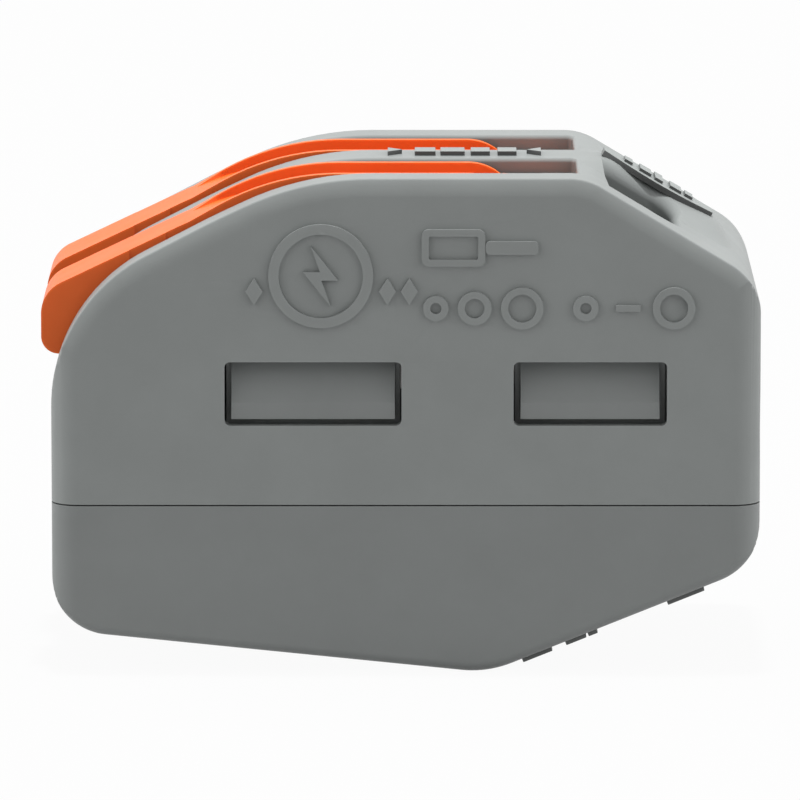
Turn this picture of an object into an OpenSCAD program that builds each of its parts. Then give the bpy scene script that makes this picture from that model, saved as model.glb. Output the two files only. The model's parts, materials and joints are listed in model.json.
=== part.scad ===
// Two-pole lever wire connector: two stripped wires are pushed into the right-hand end face,
// each lever opens one cage-clamp spring, and a common busbar joins the two wires.
// X runs along the body (wire entries at +X), Y across the poles, Z up.
// Origin: middle of the length and width, on the lowest point of the base.

/* [Body] */
// Overall length, from the lever tips to the wire-entry face
overall_l = 20.5; // [20.4:0.1:20.6]
// Width across both poles
body_w = 10.5; // [10.4:0.1:10.7]
// Height of the flat top above the lowest point of the base
top_z = 14.2; // [14.1:0.05:14.25]
// How far the lever tips stand out past the body
tip_overhang = 0.3; // [0.25:0.05:0.4]
// Height of the joint line between housing and base
seam_z = 4.83; // [4.7:0.01:4.9]
// Gap between housing and base at the joint line
seam_gap = 0.04; // [0.03:0.01:0.06]
// Radius of the upright corners in plan
corner_r = 0.8; // [0.6:0.1:1]

/* [Poles] */
// Distance of each pole's centre line from the middle of the body
pole_y = 2.4; // [2.38:0.01:2.42]
// Width of a lever slot
slot_w = 2.95; // [2.9:0.05:3]
// Width of the spring chamber of one pole
chamber_w = 3.9; // [3.85:0.05:3.9]

/* [Lever] */
// Width of a lever
lever_w = 2.65; // [2.5:0.05:2.7]
// Pivot position along the body
hub_x = 1.95; // [1.9:0.05:2]
// Pivot height
hub_z = 12.7; // [12.68:0.01:12.72]
// Radius of the rounded hub end
hub_r = 1.45; // [1.4:0.05:1.55]
// Radius of the pivot stubs
stub_r = 0.7; // [0.65:0.05:0.75]
// Radial clearance of the pivot stubs in their seats
stub_gap = 0.05; // [0.03:0.01:0.08]
// Opening angle of a lever
lever_open = 85; // [80:1:85]
// Turn of the clamp per turn of its lever
clamp_ratio = 0.153; // [0.14:0.001:0.153]

/* [Clamp spring] */
// Strip thickness
strip_t = 0.35; // [0.3:0.05:0.35]
// Strip width
strip_w = 3.5; // [3.4:0.05:3.5]
// Width of the cage window
window_w = 2.6; // [2.55:0.05:2.7]
// Outer radius of the U-bend
bend_r = 2.4; // [2.35:0.05:2.4]

/* [Busbar] */
// Height of the contact side, which the wires are pulled against
busbar_z = 8; // [7.95:0.05:8]
// Thickness
busbar_t = 0.7; // [0.6:0.05:0.7]
// Width of one contact tongue
tongue_w = 2.4; // [2.2:0.1:2.5]

/* [Wire entry] */
// Radius of the sleeve that takes the wire's insulation
insulation_r = 1.9; // [1.8:0.05:1.9]
// Radius of the guide for the stripped conductor
conductor_r = 1.2; // [1.1:0.05:1.2]

/* [Hidden] */
$fn = 64;
arc_step = 6;                              // degrees between points of a rounded outline
grey = [0.45, 0.47, 0.46];
orange = [0.93, 0.36, 0.12];
copper = [0.72, 0.71, 0.69];
steel = [0.62, 0.64, 0.66];

end_x = overall_l / 2;                     // wire-entry face
back_x = -overall_l / 2 + tip_overhang;    // lever-tip end of the body
shell_z = seam_z + seam_gap / 2;           // lower rim of the housing
tray_z = seam_z - seam_gap / 2;            // upper rim of the base
wire_z = busbar_z - 1.05;                  // axis of the wire entries

// Housing outline: the back rises into a slope, then a flat top, then the front slope.
back_slope = 0.5;
front_slope = 0.6;
back_r = 5;
back_arc_z = 7.5;
shoulder_x = 5.28;
slope_run = sqrt(1 + back_slope * back_slope);
// Height of the back slope, brought in by s from the outer face, at a place x
function back_slope_z(x, s) =
    back_arc_z + back_slope * (x - back_x - back_r) + (back_r - s) * slope_run;
// Place where the back slope, brought in by s, reaches a height z
function back_slope_x(z, s) = back_x + back_r + (z - back_slope_z(back_x + back_r, s)) / back_slope;
front_corner_z = top_z - front_slope * (end_x - shoulder_x);

// Base outline: two slopes that meet in a rounded apex.
apex = [2.05, 3];
apex_r = 3;
long_angle = 5.8;
short_angle = 22;
long_normal = [-sin(long_angle), -cos(long_angle)];
short_normal = [sin(short_angle), -cos(short_angle)];
apex_corner = apex + apex_r * (long_normal + short_normal) / (1 + long_normal * short_normal);
base_back_z = apex_corner.y + (apex_corner.x - back_x) * tan(long_angle);
base_front_z = apex_corner.y + (end_x - apex_corner.x) * tan(short_angle);

// Lever slot and its floor
slot_end_x = 5.03;
slot_foot_z = 8.85;
slot_depth = 1.05;
floor_z = 12.55;
floor_end_x = 0.25;
lever_gap = 0.12;                          // between a lever and its slot floor
roof_z = 12.1;                             // ceiling of the spring chamber
chamber_x = 4.75;                          // front wall of the spring chamber
chamber_inset = 1.6;                       // wall around the back of the chamber

// Latch windows in the side walls and the hooks in them: [start x, end x]
windows = [[-5, 0.03], [3.21, 7.57]];
hooks = [[-4.82, -0.15], [3.4, 7.37]];
window_z = [7.13, 8.96];
latch_y = [4.35, 4.8];
latch_slack = 0.03;
latch_top_z = 9.25;
hook_y = 5.1;
hook_z = [7.29, 7.77];

// Clamp spring: U-bend centre, arm under the hub and leg on the busbar
bend = [-5.3, 8.3];
arm_gap = 1.1;                             // hub centre to the arm, lever closed
cam_gap = 0.03;                            // between cam and arm
hub_from_bend = [hub_x - bend.x, hub_z - bend.y];
arm_tilt = acos((arm_gap + bend_r) / norm(hub_from_bend)) - atan2(hub_from_bend.x, hub_from_bend.y);
cage_x = [3.9, 3.9 + strip_t];
cage_foot = 0.7;                           // height of the bar below the cage window
mid_r = bend_r - strip_t / 2;
leg_gap = 0.01;
leg_knee = [-0.5, busbar_z + busbar_t + strip_t / 2 + leg_gap];
leg_from_bend = leg_knee - bend;
leg_tilt = asin(mid_r / norm(leg_from_bend)) + atan2(leg_from_bend.y, leg_from_bend.x);
leg_end_x = 3;

// Points of an outline ---------------------------------------------------------------

function unit(v) = v / norm(v);
function left_of(v) = [-v.y, v.x];
function turned(v, a) = [v.x * cos(a) + v.y * sin(a), v.y * cos(a) - v.x * sin(a)];

// Arc of radius r in the corner at v of an outline that runs clockwise from p to v to q
function corner_arc(p, v, q, r) =
    let (e = unit(v - p), f = unit(q - v), turn = acos(min(1, e * f)))
    let (centre = v - e * r * tan(turn / 2) - left_of(e) * r, steps = max(1, ceil(turn / arc_step)))
    r < 0.01 ? [v] : [for (i = [0:steps]) centre + r * turned(left_of(e), turn * i / steps)];

// Corner at v moved inwards by s from both of its edges
function inset_corner(p, v, q, s) =
    let (a = left_of(unit(v - p)), b = left_of(unit(q - v)))
    v - s * (a + b) / (1 + a * b);

// Outline through clockwise corners [x, z, radius], brought in by s
function rounded(corners, s = 0) =
    let (n = len(corners), flat = [for (c = corners) [c.x, c.y]])
    let (moved = [for (i = [0:n - 1])
        inset_corner(flat[(i + n - 1) % n], flat[i], flat[(i + 1) % n], s)])
    [for (i = [0:n - 1]) each corner_arc(moved[(i + n - 1) % n], moved[i], moved[(i + 1) % n],
                                         max(0, corners[i].z - s * sign(corners[i].z)))];

housing_corners = [
    [back_x, 3, 0],
    [back_x, back_slope_z(back_x, 0), back_r],
    [back_slope_x(top_z, 0), top_z, 7.5],
    [shoulder_x, top_z, 1.8],
    [end_x, front_corner_z, 1.6],
    [end_x, 3, 0]];

base_corners = [
    [end_x, tray_z + 1, 0],
    [end_x, base_front_z, 1.8],
    [apex_corner.x, apex_corner.y, apex_r],
    [back_x, base_back_z, 1.7],
    [back_x, tray_z + 1, 0]];

// Building blocks --------------------------------------------------------------------

// Prism across the body from a side outline
module across(outline, w, y = 0) {
    translate([0, y, 0])
        rotate([90, 0, 0])
            linear_extrude(height = w, center = true)
                polygon(outline);
}

// Box between two opposite corners
module block(low, high) {
    translate(low) cube(high - low);
}

// Pin or bore across the body
module cross_pin(x, z, r, w, y = 0) {
    translate([x, y, z]) rotate([90, 0, 0]) cylinder(r = r, h = w, center = true);
}

// Both sides of the body
module both_sides() {
    children();
    mirror([0, 1, 0]) children();
}

// Rounded rectangle in plan, from z0 to z1
module plan_block(z0, z1) {
    y = body_w / 2;
    corners = [[back_x, -y, corner_r], [back_x, y, corner_r], [end_x, y, corner_r], [end_x, -y, corner_r]];
    translate([0, 0, z0]) linear_extrude(height = z1 - z0) polygon(rounded(corners));
}

// Block with a side outline whose long edges are rounded over an arc of radius r and angle reach
module soft_block(corners, r, reach, steps) {
    hull()
        for (i = [0:steps]) {
            a = reach * i / steps;
            across(rounded(corners, r * (sin(reach) - sin(a))), body_w - 2 * r * (1 - cos(a)));
        }
}

// Housing ----------------------------------------------------------------------------

module housing_body() {
    intersection() {
        soft_block(housing_corners, 1, 40, 4);
        plan_block(shell_z, top_z + 1);
    }
}

// Slot floor, or the underside of a lever, as one solid below it
module slot_floor(s, z, x_end, w, y) {
    corners = [
        [back_x + s, 3, 0],
        [back_x + s, back_slope_z(back_x + s, s), back_r - s],
        [back_slope_x(z, s), z, 1.5],
        [x_end, z, 0],
        [x_end, 3, 0]];
    across(rounded(corners), w, y);
}

module lever_slot(y) {
    half = slot_w / 2;
    sweep_r = 3.1;
    difference() {
        block([back_x - 1, y - half, slot_foot_z], [slot_end_x, y + half, top_z + 1]);
        slot_floor(slot_depth, floor_z, floor_end_x, slot_w + 1, y);
        block([floor_end_x - 0.5, y - slot_w, 3], [slot_end_x + 1, y + slot_w, roof_z - 0.1]);
    }
    intersection() {
        cross_pin(hub_x, hub_z, sweep_r, slot_w, y);
        block([hub_x, y - half, roof_z - 2], [hub_x + 4, y + half, top_z]);
    }
    cross_pin(hub_x, hub_z, stub_r + stub_gap, chamber_w - 0.05, y);
}

module spring_chamber(y) {
    s = chamber_inset;
    corners = [
        [back_x + s, shell_z - 1, 0],
        [back_x + s, back_slope_z(back_x + s, s), back_r - s],
        [back_slope_x(roof_z, s), roof_z, 1],
        [chamber_x, roof_z, 0],
        [chamber_x, shell_z - 1, 0]];
    across(rounded(corners), chamber_w, y);
}

// Funnel, sleeve and conductor guide along the wire axis
module wire_entry(y) {
    sleeve_x = 7.5;
    funnel_l = 0.35;
    translate([0, y, wire_z]) rotate([0, 90, 0]) {
        translate([0, 0, chamber_x - 0.5]) cylinder(r = conductor_r, h = end_x - chamber_x);
        translate([0, 0, sleeve_x - 0.6])
            cylinder(r1 = conductor_r, r2 = insulation_r, h = 0.6);
        translate([0, 0, sleeve_x]) cylinder(r = insulation_r, h = end_x);
        translate([0, 0, end_x - funnel_l])
            cylinder(r1 = insulation_r, r2 = insulation_r + funnel_l + 0.1, h = funnel_l + 0.1);
    }
}

// Test opening in the front slope, with a probe hole down to the busbar
module test_port(y) {
    w = 2.85;
    corners = [[5.97, 10.4, 0], [5.97, 15, 0], [8.9, 15, 0], [8.9, 12.3, 0], [8.1, 11.5, 0.9], [7.6, 10.4, 0]];
    across(rounded(corners), w, y);
    translate([6.6, y, 10.6]) rotate([0, -120, 0]) cylinder(r = 0.6, h = 2.9);
}

module latch_window(span) {
    y = body_w / 2;
    slack = latch_slack;
    block([span[0], latch_y[0] - slack, window_z[0]], [span[1], y + 1, window_z[1]]);
    block([span[0], latch_y[0] - slack, shell_z - 1], [span[1], latch_y[1] + slack, latch_top_z + 0.1]);
}

// Raised ridge between the two test openings, which carries the flat top on over the front
// slope, with a name-plate pad on it
module front_ridge() {
    ridge_w = 1.85;
    ridge_slope = 0.567;
    knee_x = 6.1;
    end = [9, top_z - ridge_slope * (9 - knee_x)];
    pad = [3.6, 1.7, 0.13];
    across([[5.2, top_z - 1], [5.2, top_z], [knee_x, top_z], end, [9.75, 11.4], [9, 10.6], [6, 12.4]],
           ridge_w);
    translate([knee_x - 0.1, 0, top_z + 0.1 * ridge_slope])
        rotate([0, atan(ridge_slope), 0])
            translate([0, -pad.y / 2, -0.2]) cube([pad.x - 0.3, pad.y, pad.z + 0.2]);
}

// Row of six raised bars on the rib between the slots
module rib_bars() {
    for (i = [0:5])
        block([-0.35 + 0.78 * i, -0.5, top_z - 0.1], [0.05 + 0.78 * i, 0.5, top_z + 0.12]);
}

// Raised marks on a side wall: a ring with a bar in it, and a wire-size scale
module side_marks() {
    proud = 0.12;
    y = -body_w / 2 - proud;
    ring = [-2.26, 11.44];
    translate([ring.x, y, ring.y]) rotate([-90, 0, 0]) difference() {
        cylinder(r = 1.485, h = 0.5);
        translate([0, 0, -1]) cylinder(r = 1.195, h = 3);
    }
    block([ring.x - 0.2, y, ring.y - 0.8], [ring.x + 0.2, y + 0.5, ring.y + 0.8]);
    for (i = [0:4])
        translate([1.1 + 1.7 * i, y, 10.4]) rotate([-90, 0, 0]) cylinder(r = 0.25 + 0.08 * i, h = 0.5);
}

module upper_housing() {
    color(grey) difference() {
        union() {
            housing_body();
            front_ridge();
            rib_bars();
            both_sides() side_marks();
        }
        for (y = [-pole_y, pole_y]) {
            lever_slot(y);
            spring_chamber(y);
            wire_entry(y);
            test_port(y);
        }
        both_sides() for (span = windows) latch_window(span);
        block([-0.3, -1, shell_z - 1], [1.7, 1, busbar_z + busbar_t + 0.02]);
    }
}

// Base -------------------------------------------------------------------------------

// Tongue that stands in the side wall of the housing, with a hook in the latch window
module latch(span, hook_span) {
    y = latch_y;
    slack = latch_slack;
    block([span[0] + slack, y[0], 3.6], [span[1] - slack, y[1], latch_top_z]);
    translate([hook_span[0], 0, 0]) rotate([90, 0, 90])
        linear_extrude(height = hook_span[1] - hook_span[0])
            polygon([[y[1] - 0.1, hook_z[0]], [hook_y, hook_z[0]], [hook_y, hook_z[1]],
                     [y[1], window_z[1]], [y[1] - 0.1, window_z[1]]]);
}

module tray_hollow() {
    wall = 1.05;
    rib_t = 0.8;
    difference() {
        across(rounded(base_corners, wall), 2 * latch_y[0]);
        block([back_x, -rib_t / 2, -1], [end_x, rib_t / 2, tray_z + 2]);
        block([4.9, -body_w, -1], [5.7, body_w, tray_z + 2]);
    }
}

// Wall under the busbar, which is also the end stop for the wires
module busbar_support() {
    block([0, -latch_y[0], 0.8], [1.4, latch_y[0], tray_z - 0.1]);
    block([0, -4.2, 1], [1.4, 4.2, busbar_z - 0.02]);
}

// Raised bars on the short slope of the underside
module foot_marks() {
    for (x = [3.9, 5.2, 8.2])
        translate([x, 0, apex_corner.y + (x - apex_corner.x) * tan(short_angle)])
            rotate([0, -short_angle, 0])
                block([-0.35, -3, -0.1], [0.35, 3, 0.3]);
}

module base_cover() {
    color(grey * 0.95) {
        difference() {
            union() {
                intersection() {
                    soft_block(base_corners, 0.3, 90, 4);
                    plan_block(-1, tray_z);
                }
                foot_marks();
            }
            tray_hollow();
        }
        busbar_support();
        both_sides() for (i = [0, 1]) latch(windows[i], hooks[i]);
    }
}

// Busbar -----------------------------------------------------------------------------

module busbar() {
    z = [busbar_z, busbar_z + busbar_t];
    tongue_x = 4.5;
    color(copper) {
        block([-0.2, -4.1, z[0]], [1.6, 4.1, z[1]]);
        for (y = [-pole_y, pole_y])
            block([1.5, y - tongue_w / 2, z[0]], [tongue_x, y + tongue_w / 2, z[1]]);
    }
}

// Lever ------------------------------------------------------------------------------

// Distance from the hub centre to the arm's upper side, clamp turned by d, and its growth per radian
function arm_distance(d) =
    hub_from_bend.x * sin(d - arm_tilt) + hub_from_bend.y * cos(d - arm_tilt) - bend_r;
function arm_growth(d) = hub_from_bend.x * cos(d - arm_tilt) - hub_from_bend.y * sin(d - arm_tilt);

// Point of the cam that touches the arm when the lever has turned so far that the arm's
// normal lies at angle a from its closed direction, seen from the lever
cam_gain = clamp_ratio / (1 - clamp_ratio);
function cam_point(a) =
    let (d = a * cam_gain, h = arm_distance(d) - cam_gap, g = arm_growth(d) * cam_gain)
    [h * sin(a + arm_tilt) + g * cos(a + arm_tilt), g * sin(a + arm_tilt) - h * cos(a + arm_tilt)];

module cam(w) {
    reach = lever_open * (1 - clamp_ratio);
    nose_r = 0.3;
    nose = cam_point(reach) - nose_r * [sin(reach + arm_tilt), -cos(reach + arm_tilt)];
    h = arm_distance(0) - cam_gap;
    heel = [h * sin(arm_tilt) - cos(arm_tilt), -h * cos(arm_tilt) - sin(arm_tilt)];
    outline = concat(
        [heel],
        [for (i = [0:12]) cam_point(reach * i / 12)],
        [for (a = [reach + arm_tilt:15:180]) nose + nose_r * [sin(a), -cos(a)]],
        [[1, 1.1], [-1, 0.5]]);
    translate([hub_x, 0, hub_z]) {
        across(outline, w);
        intersection() {
            rotate([90, 0, 0]) cylinder(r = hub_r, h = w, center = true);
            rotate([0, -arm_tilt, 0]) block([-3, -w, -h], [3, w, 3]);
        }
    }
}

// Grip and arm of a lever, seen from the side
module lever_arm(w) {
    top = hub_z + hub_r;
    tip_z = 8.97;
    corners = [
        [-overall_l / 2, tip_z, 0.5],
        [-overall_l / 2, 10.75, 1.0],
        [-6.2, 12.68, 6],
        [-3.52, top, 5],
        [hub_x, top, 0],
        [hub_x, tip_z, 0]];
    difference() {
        across(rounded(corners), w);
        slot_floor(slot_depth - lever_gap, floor_z + lever_gap, hub_x + 1, w + 1, 0);
    }
}

// Shallow finger groove along the top of a lever and round its hub
module lever_groove() {
    depth = 0.35;
    top = hub_z + hub_r;
    start_x = -5.85;
    across(concat(
        [[start_x, 12.9], [-3.3, top + 0.6], [hub_x, top + 0.6]],
        [for (a = [90:-10:10]) [hub_x, hub_z] + 2.2 * [cos(a), sin(a)]],
        [for (a = [10:10:90]) [hub_x, hub_z] + (hub_r - depth) * [cos(a), sin(a)]],
        [[-3.3, top - depth], [-4.8, 13.1]]), 2.05);
}

module lever(y) {
    stub_l = 0.55;
    color(orange) translate([0, y, 0]) {
        difference() {
            union() {
                lever_arm(lever_w);
                cam(lever_w);
            }
            lever_groove();
        }
        cross_pin(hub_x, hub_z, stub_r, lever_w + 2 * stub_l);
    }
}

// Clamp spring -----------------------------------------------------------------------

// Part of the U-bend between two angles
module bend_arc(a0, a1, w) {
    translate([bend.x, 0, bend.y]) rotate([90, -a0, 0])
        rotate_extrude(angle = a1 - a0)
            translate([bend_r - strip_t, -w / 2]) square([strip_t, w]);
}

// Fixed half: lower part of the U-bend, rising leg and the flat that lies on the busbar
module spring_leg(y) {
    foot = bend + mid_r * [sin(leg_tilt), -cos(leg_tilt)];
    along = [cos(leg_tilt), sin(leg_tilt)];
    half_t = strip_t / 2;
    side = half_t * left_of(along);
    knee = (side + [0, half_t]) / (1 + left_of(along).y);
    root = foot - 0.02 * along;
    outline = [
        root + side,
        leg_knee + knee,
        [leg_end_x, leg_knee.y + half_t],
        [leg_end_x, leg_knee.y - half_t],
        leg_knee - knee,
        root - side];
    color(steel) translate([0, y, 0]) {
        bend_arc(180.5, 270 + leg_tilt, strip_w);
        across(outline, strip_w);
    }
}

// Moving half: upper part of the U-bend, arm under the cam and the cage with its window
module spring_cage(y) {
    top = bend + bend_r * [-sin(arm_tilt), cos(arm_tilt)];
    under = top + strip_t * [sin(arm_tilt), -cos(arm_tilt)];
    foot_z = busbar_z - 0.02 - cage_foot;
    slope = tan(arm_tilt);
    corners = [
        [top.x, top.y, 0],
        [cage_x[1], top.y + slope * (cage_x[1] - top.x), 0.45],
        [cage_x[1], foot_z, 0],
        [cage_x[0], foot_z, 0],
        [cage_x[0], under.y + slope * (cage_x[0] - under.x), 0],
        [under.x, under.y, 0]];
    color(steel) translate([0, y, 0]) {
        bend_arc(89.9 + arm_tilt, 179.5, strip_w);
        difference() {
            across(rounded(corners), strip_w);
            block([cage_x[0] - 0.5, -window_w / 2, foot_z + cage_foot],
                  [cage_x[1] + 0.5, window_w / 2, 11.1]);
        }
    }
}

upper_housing();
base_cover();
busbar();
lever(-pole_y);  // near_lever
lever(pole_y);  // far_lever
spring_leg(-pole_y);  // near_spring_leg
spring_leg(pole_y);  // far_spring_leg
spring_cage(-pole_y);  // near_spring_cage
spring_cage(pole_y);  // far_spring_cage
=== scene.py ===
# Looks of the two-pole lever wire connector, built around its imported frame.
import json
import math

import bmesh
import bpy
from mathutils import Matrix, Vector


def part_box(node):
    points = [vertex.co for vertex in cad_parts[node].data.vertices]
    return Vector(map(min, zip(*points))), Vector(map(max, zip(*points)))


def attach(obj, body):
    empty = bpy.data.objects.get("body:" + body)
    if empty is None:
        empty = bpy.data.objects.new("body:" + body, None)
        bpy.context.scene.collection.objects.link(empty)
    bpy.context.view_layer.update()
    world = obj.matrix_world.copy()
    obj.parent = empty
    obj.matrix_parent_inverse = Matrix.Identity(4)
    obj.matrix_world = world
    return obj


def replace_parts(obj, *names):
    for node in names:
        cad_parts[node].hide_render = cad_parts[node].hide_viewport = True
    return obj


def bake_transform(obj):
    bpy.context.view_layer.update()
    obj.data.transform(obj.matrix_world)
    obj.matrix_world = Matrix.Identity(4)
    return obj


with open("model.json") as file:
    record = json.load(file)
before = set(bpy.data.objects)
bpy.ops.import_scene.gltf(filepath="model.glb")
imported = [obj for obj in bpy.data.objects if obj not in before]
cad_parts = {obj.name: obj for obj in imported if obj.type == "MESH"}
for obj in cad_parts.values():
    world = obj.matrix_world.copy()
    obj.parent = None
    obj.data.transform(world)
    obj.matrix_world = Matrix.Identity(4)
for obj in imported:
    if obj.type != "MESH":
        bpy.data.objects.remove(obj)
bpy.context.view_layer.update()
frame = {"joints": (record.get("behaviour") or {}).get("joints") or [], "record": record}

# Shapes are worked out in millimetres and scaled to metres when a piece is finished.
MM = 1000.0
HOUSING = [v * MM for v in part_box("upper_housing")]
BASE = [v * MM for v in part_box("base_cover")]
LEVER = [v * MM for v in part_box("near_lever")]
BUSBAR = [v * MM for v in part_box("busbar")]
LEG = [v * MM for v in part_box("near_spring_leg")]
CAGE = [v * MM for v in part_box("near_spring_cage")]
JOINTS = {j["name"]: Vector(j["pos_m"]) * MM for j in frame["joints"]}

HUB = JOINTS["near_lever_hinge"]
BEND = JOINTS["near_clamp_flex"]
POLES = {"near": HUB.y, "far": -HUB.y}
BACK_X, END_X = BASE[0].x, BASE[1].x
HALF_W = BASE[1].y
SHELL_Z = HOUSING[0].z
TRAY_Z = SHELL_Z - 0.04
TOP_Z = 14.2

# Outer form of the body
BACK_SLOPE, FRONT_SLOPE = 0.5, 0.6
BACK_R, BACK_ARC_Z = 5.0, 7.5
BULGE_X, BULGE_H = -5.3, 0.08
SHOULDER_X = 5.28
PLAN_R = 0.8
EDGE_R, EDGE_REACH, CREST_R = 1.4, 23.0, 0.08
SLOPE_RUN = math.hypot(1.0, BACK_SLOPE)

# Slots, chamber and latch windows
SLOT_W, SLOT_END, SLOT_FOOT, SLOT_DEPTH, SLOT_LIP_R = 2.95, 5.03, 8.85, 1.05, 0.13
FLOOR_Z, FLOOR_END, ROOF_Z = 12.55, 0.25, 12.1
CHAMBER_W, CHAMBER_X, CHAMBER_WALL = 3.9, 4.75, 1.6
WINDOWS = ((-5.0, 0.03), (3.21, 7.57))
HOOKS = ((-4.82, -0.15), (3.4, 7.37))
WINDOW_Z = (7.13, 8.96)
HOOK_Z = (7.29, 7.77)
TONGUE_Y, RECESS_Y = (4.35, 4.8), 4.5
TONGUE_TOP = 9.25
HOOK_Y = 5.1
WIRE_Z, WIRE_R, SLEEVE_R = BUSBAR[0].z - 1.05, 1.2, 1.9
PORT_X, PORT_HALF_W, PORT_BOTTOM = (5.93, 7.75), 1.425, 10.3
RIDGE_SLOPE, RIDGE_KNEE, RIDGE_TOP, RIDGE_FOOT = 0.585, 5.95, 0.4, 2.6
BASE_EDGE_R = 0.3
MARK_H = 0.12

# Lever, its cam and the clamp spring
LEVER_W, LEVER_GAP, HUB_R, GROOVE_DEPTH = 2.65, 0.12, 1.43, 0.35
LEVER_OPEN = math.radians(85)
CLAMP_RATIO = frame["record"]["behaviour"]["couplings"][0]["ratio"]
BEND_R, ARM_GAP, STRIP_T, STRIP_W, WINDOW_W = 2.4, 1.1, 0.35, 3.5, 2.6

# Studio: brightness of the surroundings, and the lamp's power in watts
WORLD_FRONT, WORLD_BACK, WORLD_SIDES, OVERHEAD = 0.52, 0.85, 1.75, 3.2


# ---------------------------------------------------------------- outlines, (x, z) pairs

def unit(v):
    return v / v.length


def left_of(v):
    return Vector((-v.y, v.x))


def turned(v, degrees):
    c, s = math.cos(math.radians(degrees)), math.sin(math.radians(degrees))
    return Vector((v.x * c + v.y * s, v.y * c - v.x * s))


def polar(r, degrees):
    return Vector((r * math.cos(math.radians(degrees)), r * math.sin(math.radians(degrees))))


def inset_corner(p, v, q, s):
    a, b = left_of(unit(v - p)), left_of(unit(q - v))
    return v - s * (a + b) / (1 + a.dot(b))


def corner_arc(p, v, r, turn, step):
    """Points of a rounded corner of a clockwise outline; their number depends on the turn alone."""
    if turn < 0.5 or r <= 0:
        return [v]
    e = unit(v - p)
    centre = v - e * r * math.tan(math.radians(turn / 2)) - left_of(e) * r
    steps = max(1, math.ceil(turn / step))
    return [centre + r * turned(left_of(e), turn * i / steps) for i in range(steps + 1)]


def rounded(corners, s=0.0, step=4.0):
    """Outline through clockwise corners (x, z, radius), brought in by s."""
    flat = [Vector(c[:2]) for c in corners]
    n = len(flat)
    moved = [inset_corner(flat[i - 1], flat[i], flat[(i + 1) % n], s) for i in range(n)]
    points = []
    for i, corner in enumerate(corners):
        p, v, q = moved[i - 1], moved[i], moved[(i + 1) % n]
        turn = math.degrees(unit(v - p).angle(unit(q - v))) if corner[2] else 0
        points += corner_arc(p, v, max(corner[2] - s, 0.01), turn, step)
    return points


def back_slope_z(x, s):
    """Height at x of the back slope brought in by s."""
    return BACK_ARC_Z + BACK_SLOPE * (x - BACK_X - BACK_R) + (BACK_R - s) * SLOPE_RUN


def back_slope_x(z, s):
    """Where the back slope brought in by s reaches height z."""
    return BACK_X + BACK_R + (z - back_slope_z(BACK_X + BACK_R, s)) / BACK_SLOPE


def front_slope_z(x):
    """Height of the front slope at x."""
    return TOP_Z - FRONT_SLOPE * (x - SHOULDER_X)


def ridge_z(x):
    """Height of the ridge between the test openings at x."""
    return TOP_Z - RIDGE_SLOPE * (x - RIDGE_KNEE)


def housing_corners(bottom):
    """Side outline of the housing, down to bottom; the back slope bulges a little."""
    return [(BACK_X, bottom, 0), (BACK_X, back_slope_z(BACK_X, 0), BACK_R),
            (BULGE_X, back_slope_z(BULGE_X, 0) + BULGE_H, 12), (back_slope_x(TOP_Z, 0), TOP_Z, 8.5),
            (SHOULDER_X, TOP_Z, 1.8), (END_X, front_slope_z(END_X), 1.8), (END_X, bottom, 0)]


def base_corners(top):
    """Two slopes under the base that meet in a rounded apex on the floor."""
    apex, r, long_a, short_a = Vector((2.05, 3.0)), 3.0, math.radians(5.8), math.radians(22.0)
    a = Vector((-math.sin(long_a), -math.cos(long_a)))
    b = Vector((math.sin(short_a), -math.cos(short_a)))
    tip = apex + r * (a + b) / (1 + a.dot(b))
    return [(END_X, top, 0), (END_X, tip.y + (END_X - tip.x) * math.tan(short_a), 1.8),
            (tip.x, tip.y, r), (BACK_X, tip.y + (tip.x - BACK_X) * math.tan(long_a), 1.7),
            (BACK_X, top, 0)]


def under_corners(s, z, x_end, foot):
    """Outer form brought in by s, with its flat at z: slot floor, lever underside, chamber roof."""
    return [(BACK_X + s, foot, 0), (BACK_X + s, back_slope_z(BACK_X + s, s), BACK_R - s),
            (back_slope_x(z, s), z, 1.5), (x_end, z, 0), (x_end, foot, 0)]


# ---------------------------------------------------------------- meshes, in millimetres

def new_object(name, bm):
    bmesh.ops.recalc_face_normals(bm, faces=bm.faces)
    mesh = bpy.data.meshes.new(name)
    bm.to_mesh(mesh)
    bm.free()
    obj = bpy.data.objects.new(name, mesh)
    bpy.context.scene.collection.objects.link(obj)
    return obj


def loft(name, rings):
    """Closed skin over rings of points that all have the same number of points."""
    bm = bmesh.new()
    rows = [[bm.verts.new(p) for p in ring] for ring in rings]
    n = len(rows[0])
    for a, b in zip(rows, rows[1:]):
        for i in range(n):
            bm.faces.new((a[i], a[(i + 1) % n], b[(i + 1) % n], b[i]))
    bm.faces.new(rows[0])
    bm.faces.new(rows[-1])
    bmesh.ops.remove_doubles(bm, verts=bm.verts, dist=1e-5)
    return new_object(name, bm)


def across(name, outline, y0, y1):
    """Prism across the body from a side outline."""
    return loft(name, [[(p.x, y, p.y) for p in outline] for y in (y0, y1)])


def block(name, low, high):
    x0, y0, z0 = low
    x1, y1, z1 = high
    outline = [Vector(p) for p in ((x0, z0), (x0, z1), (x1, z1), (x1, z0))]
    return across(name, outline, y0, y1)


def pin(name, x, z, r, y0, y1, n=64):
    return across(name, [Vector((x, z)) + polar(r, -360 * i / n) for i in range(n)], y0, y1)


def lathe_x(name, profile, y, z, n=72):
    """Turned shape about an axis along X from (x, radius) pairs."""
    rings = [[(x, y + r * math.cos(2 * math.pi * i / n), z + r * math.sin(2 * math.pi * i / n))
              for i in range(n)] for x, r in profile]
    return loft(name, rings)


def combine(obj, tools, operation="DIFFERENCE"):
    """Cuts the tools from obj, or joins them to it, one after another."""
    for tool in tools:
        mod = obj.modifiers.new("cut", "BOOLEAN")
        mod.operation, mod.solver, mod.object = operation, "EXACT", tool
        settle(obj)
        bpy.data.objects.remove(tool)
    return obj


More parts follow.
